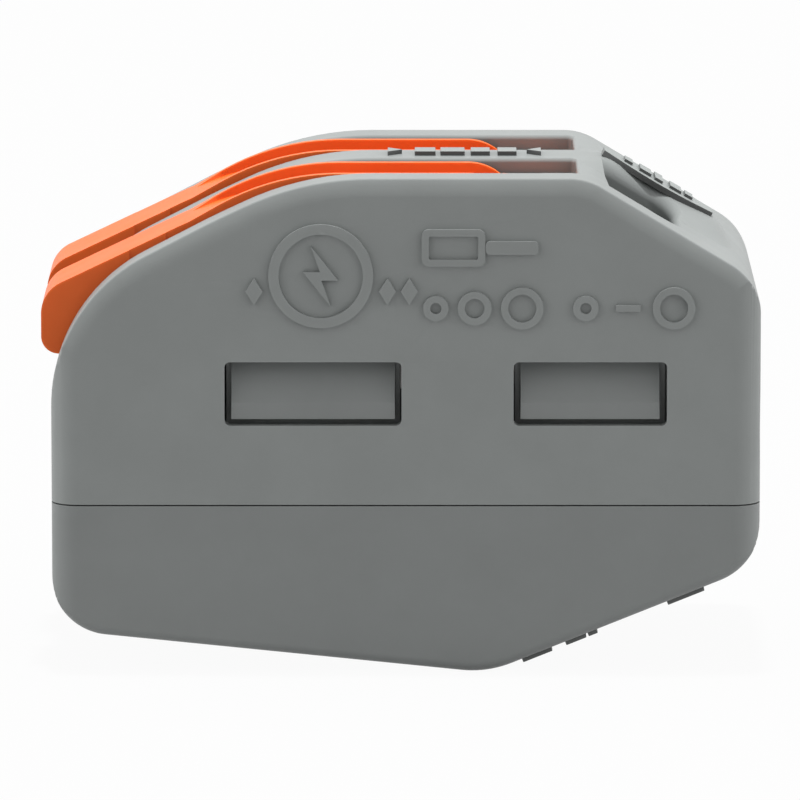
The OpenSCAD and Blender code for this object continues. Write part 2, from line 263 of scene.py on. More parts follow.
def settle(obj):
    """Replaces obj's mesh with the result of its modifiers."""
    graph = bpy.context.evaluated_depsgraph_get()
    mesh = bpy.data.meshes.new_from_object(obj.evaluated_get(graph), depsgraph=graph)
    obj.modifiers.clear()
    obj.data = mesh


def clean(obj, flat_degrees=0.4):
    """Merges stray points and dissolves the edges inside flat faces."""
    bm = bmesh.new()
    bm.from_mesh(obj.data)
    bmesh.ops.remove_doubles(bm, verts=bm.verts, dist=2e-4)
    bmesh.ops.dissolve_limit(bm, angle_limit=math.radians(flat_degrees), verts=bm.verts,
                             edges=bm.edges)
    bmesh.ops.dissolve_degenerate(bm, edges=bm.edges, dist=1e-4)
    bm.to_mesh(obj.data)
    bm.free()


def soften(obj, width, degrees=32.0, segments=2, sharp_z=None):
    """Rounds the sharp edges, apart from those at height sharp_z, and shades the piece smooth."""
    clean(obj)
    bm = bmesh.new()
    bm.from_mesh(obj.data)
    layer = bm.edges.layers.float.new("bevel_weight_edge")
    for edge in bm.edges:
        at_rim = sharp_z is not None and all(abs(v.co.z - sharp_z) < 1e-3 for v in edge.verts)
        turn = math.degrees(edge.calc_face_angle(0))
        edge[layer] = 1.0 if turn > degrees and not at_rim else 0.0
    bm.to_mesh(obj.data)
    bm.free()
    bevel = obj.modifiers.new("edge", "BEVEL")
    bevel.width, bevel.segments, bevel.limit_method = width, segments, "WEIGHT"
    bevel.use_clamp_overlap = True
    bevel.miter_outer = "MITER_ARC"
    settle(obj)
    obj.data.polygons.foreach_set("use_smooth", [True] * len(obj.data.polygons))
    obj.data.set_sharp_from_angle(angle=math.radians(40))
    weighted = obj.modifiers.new("normals", "WEIGHTED_NORMAL")
    weighted.keep_sharp = True
    weighted.weight = 50
    settle(obj)
    steady_sides(obj.data)
    return obj


def steady_sides(mesh):
    """Gives the flat side faces their own normal at every corner, so that no shade strays in."""
    normals = [Vector(corner.vector) for corner in mesh.corner_normals]
    for face in mesh.polygons:
        if abs(face.normal.y) > 0.99999:
            for i in face.loop_indices:
                normals[i] = face.normal.copy()
    mesh.normals_split_custom_set(normals)


def finish_piece(obj, name, material, body):
    """Scales a finished piece to metres, names it, dresses it and makes it ride on a body."""
    obj.data.transform(Matrix.Scale(1 / MM, 4))
    obj.name = obj.data.name = name
    obj.data.materials.clear()
    obj.data.materials.append(material)
    if body:
        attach(obj, body)
    return obj


# ---------------------------------------------------------------- materials

def node_tools(material):
    """Short ways to add and link nodes in a material."""
    tree = material.node_tree
    nodes, links = tree.nodes, tree.links

    def add(kind, **values):
        node = nodes.new(kind)
        for key, value in values.items():
            if key in node.inputs:
                node.inputs[key].default_value = value
            else:
                setattr(node, key.lower(), value)
        return node

    return add, links.new


def moulded_plastic(name, colour, second, roughness, grain=0.35, scatter=0.0, specular=0.5, edge_highlight=1.25):
    """Injection-moulded plastic: faint mottling, spark-eroded grain and edges lightened as a painted
    highlight.
    """
    material = bpy.data.materials.new(name)
    material.use_nodes = True
    bsdf = material.node_tree.nodes["Principled BSDF"]
    add, link = node_tools(material)
    place = add("ShaderNodeTexCoord")
    mottle = add("ShaderNodeTexNoise", Scale=420.0, Detail=5.0, Roughness=0.6)
    link(place.outputs["Object"], mottle.inputs["Vector"])
    ramp = add("ShaderNodeValToRGB")
    ramp.color_ramp.elements[0].position, ramp.color_ramp.elements[1].position = 0.35, 0.68
    ramp.color_ramp.elements[0].color = (*colour, 1)
    ramp.color_ramp.elements[1].color = (*second, 1)
    link(mottle.outputs["Fac"], ramp.inputs["Fac"])

    # Painted highlight: the colour is lightened along edges by the given factor, where edges would catch
    # the light.
    soft = add("ShaderNodeBevel", Radius=0.00012)
    soft.samples = 6
    shape = add("ShaderNodeNewGeometry")
    edge = add("ShaderNodeVectorMath", operation="DOT_PRODUCT")
    link(soft.outputs["Normal"], edge.inputs[0])
    link(shape.outputs["Normal"], edge.inputs[1])
    mask = add("ShaderNodeMapRange")
    mask.inputs["From Min"].default_value = 0.995
    mask.inputs["From Max"].default_value = 0.86
    link(edge.outputs["Value"], mask.inputs["Value"])
    edge_lit = add("ShaderNodeMixRGB", blend_type="MULTIPLY")
    edge_lit.inputs["Color2"].default_value = (edge_highlight, edge_highlight, edge_highlight, 1)
    link(mask.outputs["Result"], edge_lit.inputs["Fac"])
    link(ramp.outputs["Color"], edge_lit.inputs["Color1"])
    link(edge_lit.outputs["Color"], bsdf.inputs["Base Color"])

    sheen = add("ShaderNodeTexNoise", Scale=900.0, Detail=3.0)
    link(place.outputs["Object"], sheen.inputs["Vector"])
    gloss = add("ShaderNodeMapRange")
    gloss.inputs["To Min"].default_value = roughness - 0.06
    gloss.inputs["To Max"].default_value = roughness + 0.06
    link(sheen.outputs["Fac"], gloss.inputs["Value"])
    link(gloss.outputs["Result"], bsdf.inputs["Roughness"])

    pits = add("ShaderNodeTexNoise", Scale=16000.0, Detail=4.0, Roughness=0.65)
    link(place.outputs["Object"], pits.inputs["Vector"])
    bump = add("ShaderNodeBump", Strength=grain, Distance=0.000006)
    link(pits.outputs["Fac"], bump.inputs["Height"])
    link(bump.outputs["Normal"], bsdf.inputs["Normal"])
    bsdf.inputs["IOR"].default_value = 1.5
    bsdf.inputs["Specular IOR Level"].default_value = specular
    if scatter:
        bsdf.inputs["Subsurface Weight"].default_value = scatter
        bsdf.inputs["Subsurface Radius"].default_value = (0.0012, 0.0004, 0.0002)
        bsdf.inputs["Subsurface Scale"].default_value = 1.0
    return material


def paint_lit_tops(material, colour):
    """Paints light on the upward faces of raised marks: they get a lighter colour than their sides,
    whose darker colour is painted shade.
    """
    add, link = node_tools(material)
    bsdf = material.node_tree.nodes["Principled BSDF"]
    sides = bsdf.inputs["Base Color"].links[0].from_socket
    # Painted light on the tops and painted shade on the sides, mixed by how far each face points up.
    shape = add("ShaderNodeNewGeometry")
    parts = add("ShaderNodeSeparateXYZ")
    link(shape.outputs["Normal"], parts.inputs["Vector"])
    upward = add("ShaderNodeMapRange")
    upward.inputs["From Min"].default_value = 0.35
    upward.inputs["From Max"].default_value = 0.75
    link(parts.outputs["Z"], upward.inputs["Value"])
    mix = add("ShaderNodeMixRGB")
    mix.inputs["Color2"].default_value = (*colour, 1)
    link(upward.outputs["Result"], mix.inputs["Fac"])
    link(sides, mix.inputs["Color1"])
    link(mix.outputs["Color"], bsdf.inputs["Base Color"])


def plated_metal(name, colour, second, roughness, stretch, grain):
    """Metal strip with rolling marks drawn out along X and a slightly uneven tint."""
    material = bpy.data.materials.new(name)
    material.use_nodes = True
    bsdf = material.node_tree.nodes["Principled BSDF"]
    bsdf.inputs["Metallic"].default_value = 1.0
    add, link = node_tools(material)
    place = add("ShaderNodeTexCoord")
    drawn = add("ShaderNodeMapping")
    drawn.inputs["Scale"].default_value = stretch
    link(place.outputs["Object"], drawn.inputs["Vector"])
    streaks = add("ShaderNodeTexNoise", Scale=1500.0, Detail=6.0, Roughness=0.6)
    link(drawn.outputs["Vector"], streaks.inputs["Vector"])
    ramp = add("ShaderNodeValToRGB")
    ramp.color_ramp.elements[0].position, ramp.color_ramp.elements[1].position = 0.3, 0.7
    ramp.color_ramp.elements[0].color = (*colour, 1)
    ramp.color_ramp.elements[1].color = (*second, 1)
    link(streaks.outputs["Fac"], ramp.inputs["Fac"])
    link(ramp.outputs["Color"], bsdf.inputs["Base Color"])
    gloss = add("ShaderNodeMapRange")
    gloss.inputs["To Min"].default_value = roughness - 0.08
    gloss.inputs["To Max"].default_value = roughness + 0.1
    link(streaks.outputs["Fac"], gloss.inputs["Value"])
    link(gloss.outputs["Result"], bsdf.inputs["Roughness"])
    bump = add("ShaderNodeBump", Strength=grain, Distance=0.00001)
    link(streaks.outputs["Fac"], bump.inputs["Height"])
    link(bump.outputs["Normal"], bsdf.inputs["Normal"])
    return material


# ---------------------------------------------------------------- body shells

def edge_profile(r, reach, crest_r):
    """Long edge of a body, from its flat inwards: (y, s) along a tight arc, then a wide one."""
    first, profile = math.radians(reach), []
    top_y = HALF_W - r * (1 - math.cos(first))
    if crest_r:
        for i in range(4):
            a = math.radians(90 - (90 - reach) * i / 4)
            y = top_y - crest_r * (math.cos(first) - math.cos(a))
            profile.append((y, crest_r * (1 - math.sin(a))))
    drop = crest_r * (1 - math.sin(first))
    for i in range(9):
        a = first * (1 - i / 8)
        profile.append((HALF_W - r * (1 - math.cos(a)), drop + r * (math.sin(first) - math.sin(a))))
    return profile


def body_rings(corners, r, reach, crest_r=0.0):
    """Rings of a body across its width: corners rounded in plan, long edges over an arc."""
    profile = edge_profile(r, reach, crest_r)
    inner = HALF_W - PLAN_R
    steps = [inner + PLAN_R * math.sin(math.radians(a)) for a in range(0, 90, 10)]
    half = [(y, 0.0) for y in steps if y < profile[0][0] - 0.02] + profile
    rings = []
    for y, s in [(-y, s) for y, s in reversed(half)] + half:
        cut = PLAN_R - math.sqrt(max(0.0, PLAN_R ** 2 - max(0.0, abs(y) - inner) ** 2))
        rings.append([(min(max(p.x, BACK_X + cut), END_X - cut), y, p.y)
                      for p in rounded(corners, s, 3.0)])
    return rings


def slot_cutter(y):
    """Room for a lever: open at the back and the top, with a floor that follows the outer form."""
    floor = rounded(under_corners(SLOT_DEPTH, FLOOR_Z, FLOOR_END, 3.0), 0, 3.0)
    floor = [p for p in floor[:-1] if p.y > SLOT_FOOT + 0.05]
    r = BACK_R - SLOT_DEPTH
    foot_x = BACK_X + BACK_R - math.sqrt(r ** 2 - (SLOT_FOOT - BACK_ARC_Z) ** 2)
    low, high, behind = ROOF_Z - 0.15, TOP_Z + 3, BACK_X - 3
    end = SLOT_END - 0.3
    outline = [(behind, SLOT_FOOT), (behind, high), (end, high), (end, low), (FLOOR_END, low)]
    outline = [Vector(p) for p in outline] + list(reversed(floor)) + [Vector((foot_x, SLOT_FOOT))]
    return across("slot", outline, y - SLOT_W / 2, y + SLOT_W / 2)


def slot_lip(y):
    """Rolls the side walls of a slot over into the outer form, up to the slot's end."""
    turns, r = [math.radians(t) for t in range(0, 91, 15)], SLOT_LIP_R
    flare = [(SLOT_W / 2 + r * (1 - math.sin(a)), r * (1 - math.cos(a))) for a in turns]
    end, rings = SLOT_END - 1.0, []
    for dy, s in [(-w, s) for w, s in flare] + [(w, s) for w, s in reversed(flare)]:
        path = [p for p in rounded(housing_corners(3.0), s, 3.0)[1:] if p.x < end - 0.3]
        ring = [(BACK_X - 3, path[0].y), (BACK_X - 3, TOP_Z + 3), (end, TOP_Z + 3), (end, TOP_Z - s)]
        rings.append([(x, y + dy, z) for x, z in ring + [tuple(p) for p in reversed(path)]])
    return loft("lip", rings)


def rolled_well(x0, x1, y0, y1, surface, bottom, r, corner, skew=0.0, near=0.0):
    """Cutter for an opening whose end wall at x1 and side wall at y1 roll over into the surface;
    its edge at x0 stays sharp, and so does the one at y0 unless near is 1."""
    side = math.copysign(1, y1 - y0)
    run = [i / 24 * (x1 - corner - x0) + x0 for i in range(24)]
    spots = [(x, y0, 0.0, -side * near) for x in run]
    for a in range(-90, 91, 10):
        c, s = math.cos(math.radians(a)), math.sin(math.radians(a))
        share = max(near, min(1.0, (a + 90) / 90))
        middle = y0 + side * corner if a < 0 else y1 - side * corner
        spots.append((x1 - corner + corner * c, middle + side * corner * s, c * share, side * s * share))
    spots += [(x + skew * (1 - i / 24), y1, 0.0, side) for i, x in reversed(list(enumerate(run)))]
    turns = [math.radians(t) for t in range(0, 91, 10)]
    levels = [(r * (1 - math.cos(t)), r * (1 - math.sin(t)) - 0.004) for t in turns]
    rings = [[(x, y, bottom) for x, y, _, _ in spots]]
    for out, drop in levels + [(r, -2.5)]:
        rings.append([(x + nx * out, y + ny * out, surface(x + nx * out, y + ny * out) - drop)
                      for x, y, nx, ny in spots])
    return loft("well", rings)


def sweep_cutter(y, r=3.1):
    """Room in front of the hub for the cam's swing."""
    arc = [Vector((HUB.x, HUB.z)) + polar(r, a) for a in range(28, -91, -4)]
    return across("sweep", [Vector((HUB.x, arc[0].y))] + arc, y - SLOT_W / 2, y + SLOT_W / 2)


def chamber_cutter(y):
    corners = under_corners(CHAMBER_WALL, ROOF_Z, CHAMBER_X, SHELL_Z - 3)
    return across("chamber", rounded(corners, 0, 3.0), y - CHAMBER_W / 2, y + CHAMBER_W / 2)


def wire_entry_cutter(y, mouth=0.4):
    """Guide for the bare wire, cone, sleeve for the insulation and a rounded mouth."""
    profile = [(CHAMBER_X - 0.5, WIRE_R), (6.9, WIRE_R), (7.5, SLEEVE_R), (END_X - mouth, SLEEVE_R)]
    for degrees in range(11, 89, 11):
        a = math.radians(degrees)
        profile.append((END_X - mouth + mouth * math.sin(a), SLEEVE_R + mouth * (1 - math.cos(a))))
    return lathe_x("entry", profile + [(END_X + 1, profile[-1][1])], y, WIRE_Z)


def test_port_cutter(y):
    """Opening in the front slope that rolls over towards the ridge and at its lower end."""
    outer, inner = y + math.copysign(PORT_HALF_W, y), y - math.copysign(PORT_HALF_W, y)
    return rolled_well(*PORT_X, outer, inner, front_surface(), PORT_BOTTOM, 0.5, 0.7, -0.15)


def probe_cutter(y):
    """Round hole from the test opening down to the busbar."""
    tool = lathe_x("probe", [(0, 0.6), (2.9, 0.6)], 0, 0, 32)
    tool.data.transform(Matrix.Rotation(math.radians(150), 4, "Y"))
    tool.data.transform(Matrix.Translation((6.6, y, 10.6)))
    return tool


def window_cutters(side):
    """Two latch windows in a side wall and the pockets for the latch tongues."""
    tools = []
    for x0, x1 in WINDOWS:
        corners = [(x, z, 0.16) for x, z in zip((x0, x0, x1, x1), WINDOW_Z + WINDOW_Z[::-1])]
        y0, y1 = sorted((side * (TONGUE_Y[0] - 0.02), side * (HALF_W + 1)))
        tools.append(across("window", rounded(corners, 0, 15), y0, y1))
        y0, y1 = sorted((side * (TONGUE_Y[0] - 0.03), side * (TONGUE_Y[1] + 0.03)))
        tools.append(block("pocket", (x0, y0, SHELL_Z - 3), (x1, y1, TONGUE_TOP + 0.1)))
    return tools


def height_at(points, x):
    """Height of the upper side of a clockwise outline at x."""
    for p, q in zip(points, points[1:]):
        if p.x <= x <= q.x and q.x > p.x:
            return p.y + (q.y - p.y) * (x - p.x) / (q.x - p.x)
    return points[-1].y


def front_surface():
    """Height of the front of the housing at (x, y): the slope with the ridge on its middle."""
    slope = rounded(housing_corners(3.0), 0, 2.0)
    crest = rounded([(3.0, TOP_Z, 0), (RIDGE_KNEE, TOP_Z, 1.0), (9.15, ridge_z(9.15), 1.5),
                     (9.8, 11.43, 0), (9.8, 3.0, 0), (3.0, 3.0, 0)], 0, 4.0)

    def smooth(t):
        t = min(1.0, max(0.0, t))
        return t * t * (3 - 2 * t)

    def height(x, y):
        low = height_at(slope, x)
        share = smooth((RIDGE_FOOT - abs(y)) / (RIDGE_FOOT - RIDGE_TOP)) * smooth((9.75 - x) / 0.7)
        return low + share * max(0.0, height_at(crest, x) - low)

    return height


def front_ridge():
    """Ridge between the test openings: it carries the flat top on over the front slope, and its
    flanks fall smoothly to the slope."""
    height = front_surface()
    xs = [4.8 + 4.92 * i / 60 for i in range(61)]
    rings = []
    for i in range(-20, 21):
        y = RIDGE_FOOT * i / 20
        line = [(x, y, height(x, y) - 0.025) for x in xs]
        rings.append([(xs[0], y, 9.0)] + line + [(xs[-1], y, 9.0)])
    return loft("ridge", rings)


def build_housing(material):
    shell = loft("housing", body_rings(housing_corners(SHELL_Z - 2), EDGE_R, EDGE_REACH, CREST_R))
    combine(shell, [front_ridge()], "UNION")
    for y in POLES.values():
        seat = pin("seat", HUB.x, HUB.z, 0.75, y - CHAMBER_W / 2, y + CHAMBER_W / 2)
        end_lip = rolled_well(SLOT_END - 1.2, SLOT_END, y - SLOT_W / 2, y + SLOT_W / 2, front_surface(),
                              ROOF_Z - 0.15, SLOT_LIP_R, 0.15, near=1.0)
        combine(shell, [slot_cutter(y), slot_lip(y), end_lip, sweep_cutter(y), chamber_cutter(y), seat,
                        wire_entry_cutter(y), test_port_cutter(y), probe_cutter(y)])
    for side in (-1, 1):
        combine(shell, window_cutters(side))
        combine(shell, side_marks(side), "UNION")
    notch = block("notch", (-0.3, -1, SHELL_Z - 3), (1.7, 1, BUSBAR[1].z + 0.02))
    below = block("below", (BACK_X - 1, -HALF_W - 1, SHELL_Z - 5), (END_X + 1, HALF_W + 1, SHELL_Z))
    combine(shell, [notch, below])
    soften(shell, 0.045, sharp_z=SHELL_Z)
    finish_piece(shell, "housing_shell", material, "housing")
    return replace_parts(shell, "upper_housing")


def tray_hollow():
    """The two troughs inside the base, on either side of its middle rib, in two lengths."""
    tools = []
    for x0, x1 in ((BACK_X + 1, 4.9), (5.7, END_X - 1)):
        for side in (-1, 1):
            trough = across("trough", rounded(base_corners(TRAY_Z + 3), 1.05, 4.0),
                            *sorted((side * 0.4, side * TONGUE_Y[0])))
            combine(trough, [block("span", (x0, -HALF_W, -1), (x1, HALF_W, TRAY_Z + 4))], "INTERSECT")
            tools.append(trough)
    return tools


def latch(side, span, hook_span):
    """Spring tongue with a ramped hook that snaps into a latch window."""
    y0, y1 = side * TONGUE_Y[0], side * TONGUE_Y[1]
    tongue = block("tongue", (span[0] + 0.03, min(y0, y1), TRAY_Z - 1.2),
                   (span[1] - 0.03, max(y0, y1), TONGUE_TOP))
    near, far = sorted((side * RECESS_Y, side * (HALF_W + 1)))
    recess = block("recess", (span[0] - 1, near, WINDOW_Z[0] - 0.1),
                   (span[1] + 1, far, WINDOW_Z[1] + 0.05))
    combine(tongue, [recess])
    deep = side * (RECESS_Y - 0.08)
    hook = [(deep, HOOK_Z[0]), (side * HOOK_Y, HOOK_Z[0]), (side * HOOK_Y, HOOK_Z[1]),
            (side * RECESS_Y, WINDOW_Z[1] + 0.02), (deep, WINDOW_Z[1] + 0.02)]
    return combine(tongue, [loft("hook", [[(x, y, z) for y, z in hook] for x in hook_span])], "UNION")


def build_foot_marks(material):
    """Raised bars on the short slope of the underside."""
    slope, tip = math.radians(22.0), base_corners(0)[2]
    bars = []
    for x, half_l in ((3.88, 0.45), (4.98, 0.31), (5.46, 0.14), (8.11, 0.56)):
        bar = block("bar", (-half_l, 0.35 - HALF_W, -0.13), (half_l, HALF_W - 0.35, 0.1))
        bar.data.transform(Matrix.Rotation(-slope, 4, "Y"))
        bar.data.transform(Matrix.Translation((x, 0, tip[1] + (x - tip[0]) * math.tan(slope))))
        bars.append(bar)
    combine(bars[0], bars[1:], "UNION")
    soften(bars[0], 0.02)
    return finish_piece(bars[0], "foot_marks", material, "housing")


def build_base(material):
    tray = loft("base", body_rings(base_corners(TRAY_Z + 2), BASE_EDGE_R, 90.0))
    above = block("above", (BACK_X - 1, -HALF_W - 1, TRAY_Z), (END_X + 1, HALF_W + 1, TRAY_Z + 4))
    combine(tray, [above] + tray_hollow())
    support = block("support", (0, -TONGUE_Y[0], 0.8), (1.4, TONGUE_Y[0], TRAY_Z - 0.1))
    wall = block("wall", (0.001, -4.2, 1), (1.399, 4.2, BUSBAR[0].z - 0.02))
    combine(tray, [support, wall], "UNION")
    soften(tray, 0.045, sharp_z=TRAY_Z)
    finish_piece(tray, "base_tray", material, "housing")
    for side, where in ((-1, "near"), (1, "far")):
        for span, hook_span, end in zip(WINDOWS, HOOKS, ("back", "front")):
            piece = soften(latch(side, span, hook_span), 0.03)
            finish_piece(piece, f"{where}_{end}_latch", material, "housing")
    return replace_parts(tray, "base_cover")


# ---------------------------------------------------------------- raised marks

def stroke_ring(x, z, r, stroke=0.2):
    """Flat ring seen from the side, as (outer, inner) outlines."""
    turns = [-360 * i / 56 for i in range(56)]
    return [[Vector((x, z)) + polar(q, a) for a in turns] for q in (r, r - stroke)]


def box_outline(x0, x1, z0, z1, r):
    return rounded([(x0, z0, r), (x0, z1, r), (x1, z1, r), (x1, z0, r)], 0, 18)


def raised(outer, inner, side):
    """Mark standing MARK_H proud of a side wall, with a hole if it has an inner outline."""
    y0, y1 = sorted((side * (HALF_W - 0.2), side * (HALF_W + MARK_H)))
    mark = across("mark", outer, y0, y1)
    if inner:
        combine(mark, [across("hole", inner, -HALF_W - 2, HALF_W + 2)])
    return mark


def side_marks(side):
    """Generic marks: a bolt in a ring, a stripped wire, and rings for thin to thick wires."""
    cx, cz = -2.26, 11.44
    bolt = [(0.28, 0.86), (-0.5, -0.12), (-0.02, -0.12), (-0.28, -0.86), (0.5, 0.12), (0.02, 0.12)]
    bolt = [Vector((cx - x, cz + z)) for x, z in bolt]
    marks = [raised(*stroke_ring(cx, cz, 1.485, 0.29), side), raised(bolt[::-1], None, side)]
    for x in (-4.15, -0.37, 0.25):
        spikes = ((0.24, 180), (0.38, 90), (0.24, 0), (0.38, -90))
        marks.append(raised([Vector((x, 11.0)) + polar(r, a) for r, a in spikes], None, side))
    sheath, gap = box_outline(0.6, 2.4, 11.72, 12.78, 0.2), box_outline(0.8, 2.2, 11.92, 12.58, 0.05)
    marks.append(raised(sheath, gap, side))
    marks.append(raised(box_outline(2.41, 3.9, 12.06, 12.44, 0.12), None, side))
    for x, r in ((1.0, 0.36), (2.1, 0.48), (3.45, 0.6), (5.25, 0.36), (7.75, 0.6)):
        marks.append(raised(*stroke_ring(x, 10.52, r), side))
    marks.append(raised(box_outline(6.1, 6.8, 10.43, 10.61, 0.04), None, side))
    return marks


def build_rib_marks(material):
    """Six raised marks on the rib between the slots: arrows at its ends, bars between them."""
    marks = []
    for x, w in ((-0.16, 0.42), (0.71, 0.6), (1.5, 0.7), (2.3, 0.55), (3.07, 0.55), (3.84, 0.42)):
        half_l, half_w = w / 2, 0.42
        plan = [(-half_l, -half_w), (-half_l, half_w), (half_l, half_w), (half_l, -half_w)]
        if x < 0 or x > 3.5:
            inward = math.copysign(half_l, 1.5 - x)
            plan = [(-inward, -half_w), (-inward, half_w), (inward, 0.0)]
        levels = (TOP_Z - 0.05, TOP_Z + 0.13)
        marks.append(loft("mark", [[(x + px, py, z) for px, py in plan] for z in levels]))
    combine(marks[0], marks[1:], "UNION")
    soften(marks[0], 0.015)
    return finish_piece(marks[0], "rib_marks", material, "housing")


def lens(name, length, low, high, steps=24):
    """Lens-shaped slab from the origin along +X."""
    edge = [(length * i / steps, 0.35 + 0.6 * math.sin(math.pi * i / steps)) for i in range(steps + 1)]
    plan = edge + [(x, -y) for x, y in reversed(edge)]
    return loft(name, [[(x, y, z) for x, y in plan] for z in (low, high)])


def build_name_plate(material):
    """Blank lens-shaped plate on the ridge, with a row of plain bars on it."""
    plate = lens("plate", 3.62, -0.06, 0.11)
    bars = []
    for i, w in enumerate((0.26, 0.38, 0.26, 0.38, 0.26)):
        x = 0.64 + 0.5 * i
        half = 0.6 - 0.12 * abs(i - 2)
        bars.append(block("bar", (x, -half, 0.05), (x + w, half, 0.2)))
    combine(plate, bars, "UNION")
    plate.data.transform(Matrix.Rotation(math.atan(RIDGE_SLOPE), 4, "Y"))
    plate.data.transform(Matrix.Translation((RIDGE_KNEE - 0.12, 0, TOP_Z + 0.06)))
    soften(plate, 0.015)
    return finish_piece(plate, "ridge_plate", material, "housing")


# ---------------------------------------------------------------- levers

def arm_distance(turn, tilt, bend_r):
    """Distance from the hub's centre to the upper side of the spring's arm, clamp turned by turn."""
    away = HUB - BEND
    return away.x * math.sin(turn - tilt) + away.z * math.cos(turn - tilt) - bend_r


def arm_tilt():
    away = HUB - BEND
    run = math.hypot(away.x, away.z)
    return math.acos((ARM_GAP + BEND_R) / run) - math.atan2(away.x, away.z)


def cam_point(a):
    """Point of the cam that touches the arm when the arm's normal is at angle a to the lever."""
    gain, tilt, away = CLAMP_RATIO / (1 - CLAMP_RATIO), arm_tilt(), HUB - BEND
    turn = a * gain
    h = arm_distance(turn, tilt, BEND_R) - 0.03
    growth = (away.x * math.cos(turn - tilt) - away.z * math.sin(turn - tilt)) * gain
    return Vector((h * math.sin(a + tilt) + growth * math.cos(a + tilt),
                   growth * math.sin(a + tilt) - h * math.cos(a + tilt)))


def cam_outline():
    """Cam under the hub, from its heel round the working face to the nose."""
    tilt, reach, nose_r = arm_tilt(), LEVER_OPEN * (1 - CLAMP_RATIO), 0.3
    nose = cam_point(reach) - nose_r * Vector((math.sin(reach + tilt), -math.cos(reach + tilt)))
    h = arm_distance(0, tilt, BEND_R) - 0.03
    points = [Vector((h * math.sin(tilt) - math.cos(tilt), -h * math.cos(tilt) - math.sin(tilt)))]
    points += [cam_point(reach * i / 24) for i in range(25)]
    end = reach + tilt
    points += [nose + nose_r * Vector((math.sin(a), -math.cos(a)))
               for a in [end + i * (math.pi - end) / 8 for i in range(9)]]
    points += [Vector((1, 1.1)), Vector((-1, 0.5))]
    return [Vector((HUB.x, HUB.z)) + p for p in points]


def hub_cutter(y):
    """Cuts the hub off along the line of the spring's arm."""
    tilt = arm_tilt()
    h = arm_distance(0, tilt, BEND_R) - 0.03
    outline = [Vector((HUB.x, HUB.z)) + turned(Vector(p), -math.degrees(tilt))
               for p in ((-4, -h), (4, -h), (4, -h - 3), (-4, -h - 3))]
    return across("hub_cut", outline, y - 4, y + 4)


def lever_corners():
    """Side outline of the closed lever: blunt tip, handle, knee and the top of the hub."""
    top = HUB.z + HUB_R
    return [(LEVER[0].x, LEVER[0].z, 0.5), (LEVER[0].x, 10.75, 1.0), (-6.2, 12.68, 6),
            (-3.54, top, 7.0), (HUB.x, top, 0), (HUB.x, LEVER[0].z, 0)]


def groove_cutter(y):
    """Finger groove along the top of the lever and round its hub; its floor ramps down."""
    start_x, ramp, half, hub = -6.0, 2.1, 1.025, Vector((HUB.x, HUB.z))
    outline = [p for p in rounded(lever_corners(), 0, 2.0) if p.y > 12 and p.x < HUB.x - 0.1]
    handle = [start_x + ramp * i / 16 for i in range(16)]
    top = [Vector((x, height_at(outline, x))) for x in handle]
    top += [p for p in outline if p.x > start_x + ramp + 0.05]
    top += [hub + polar(HUB_R, a) for a in range(90, 9, -5)]
    rings = []
    for i, p in enumerate(top):
        normal = left_of(unit(top[min(i + 1, len(top) - 1)] - top[max(i - 1, 0)]))
        share = min(1.0, (p.x - start_x) / ramp)
        w = half * (0.55 + 0.45 * min(1.0, 3 * share))
        depth = GROOVE_DEPTH * math.sin(share * math.pi / 2) ** 1.3 - 0.01 * (share == 0)
        low, high = p - normal * depth, p + normal * 0.5
        rings.append([(low.x, y - w, low.y), (low.x, y + w, low.y), (high.x, y + w, high.y),
                      (high.x, y - w, high.y)])
    return loft("groove", rings)


def lever_sides(y):
    """Slabs that narrow the lever in two small steps behind its tip."""
    tools = []
    for x, inset in ((-7.73, 0.05), (-6.69, 0.1)):
        for side in (-1, 1):
            face = y + side * (LEVER_W / 2 + 0.05 - inset)
            y0, y1 = sorted((face, face + side * 1.0))
            tools.append(block("side", (x, y0, 0), (HUB.x + 4, y1, 20)))
    return tools


def build_lever(where, material):
    y = POLES[where]
    half = LEVER_W / 2 + 0.05
    lever = across("lever", rounded(lever_corners(), 0, 3.0), y - half, y + half)
    under = under_corners(SLOT_DEPTH - LEVER_GAP, FLOOR_Z + LEVER_GAP, HUB.x + 1, 3.0)
    combine(lever, [across("under", rounded(under, 0, 3.0), y - 2, y + 2)])
    hub = pin("hub", HUB.x, HUB.z, HUB_R, y - half, y + half, 96)
    combine(hub, [hub_cutter(y)])
    combine(lever, [hub, across("cam", cam_outline(), y - half, y + half)], "UNION")
    combine(lever, [groove_cutter(y)] + lever_sides(y))
    reach = LEVER_W / 2 + 0.55
    combine(lever, [pin("stub", HUB.x, HUB.z, 0.7, y - reach, y + reach, 48)], "UNION")
    soften(lever, 0.1, segments=3)
    finish_piece(lever, f"{where}_lever_arm", material, f"{where}_lever")
    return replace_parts(lever, f"{where}_lever")


# ---------------------------------------------------------------- springs and busbar

def strip_outline(path, t):
    """Closed outline of a strip of thickness t along a centre line."""
    left, right = [], []
    for i, p in enumerate(path):
        a = unit(p - path[i - 1]) if i else unit(path[1] - p)
        b = unit(path[i + 1] - p) if i < len(path) - 1 else a
        n = (left_of(a) + left_of(b)) / (1 + left_of(a).dot(left_of(b)))
        left.append(p + n * t / 2)
        right.append(p - n * t / 2)
    return left + list(reversed(right))


def bent(points, r, step=8.0):
    """Centre line through points, with its corners rounded by radius r."""
    path = [points[0]]
    for p, v, q in zip(points, points[1:], points[2:]):
        a, b = unit(v - p), unit(q - v)
        turn = a.angle(b)
        side = 1 if a.x * b.y - a.y * b.x > 0 else -1
        centre = v - a * r * math.tan(turn / 2) + left_of(a) * side * r
        steps = max(2, math.ceil(math.degrees(turn) / step))
        for i in range(steps + 1):
            path.append(centre + turned(left_of(a) * -side * r, -side * math.degrees(turn) * i / steps))
    return path + [points[-1]]


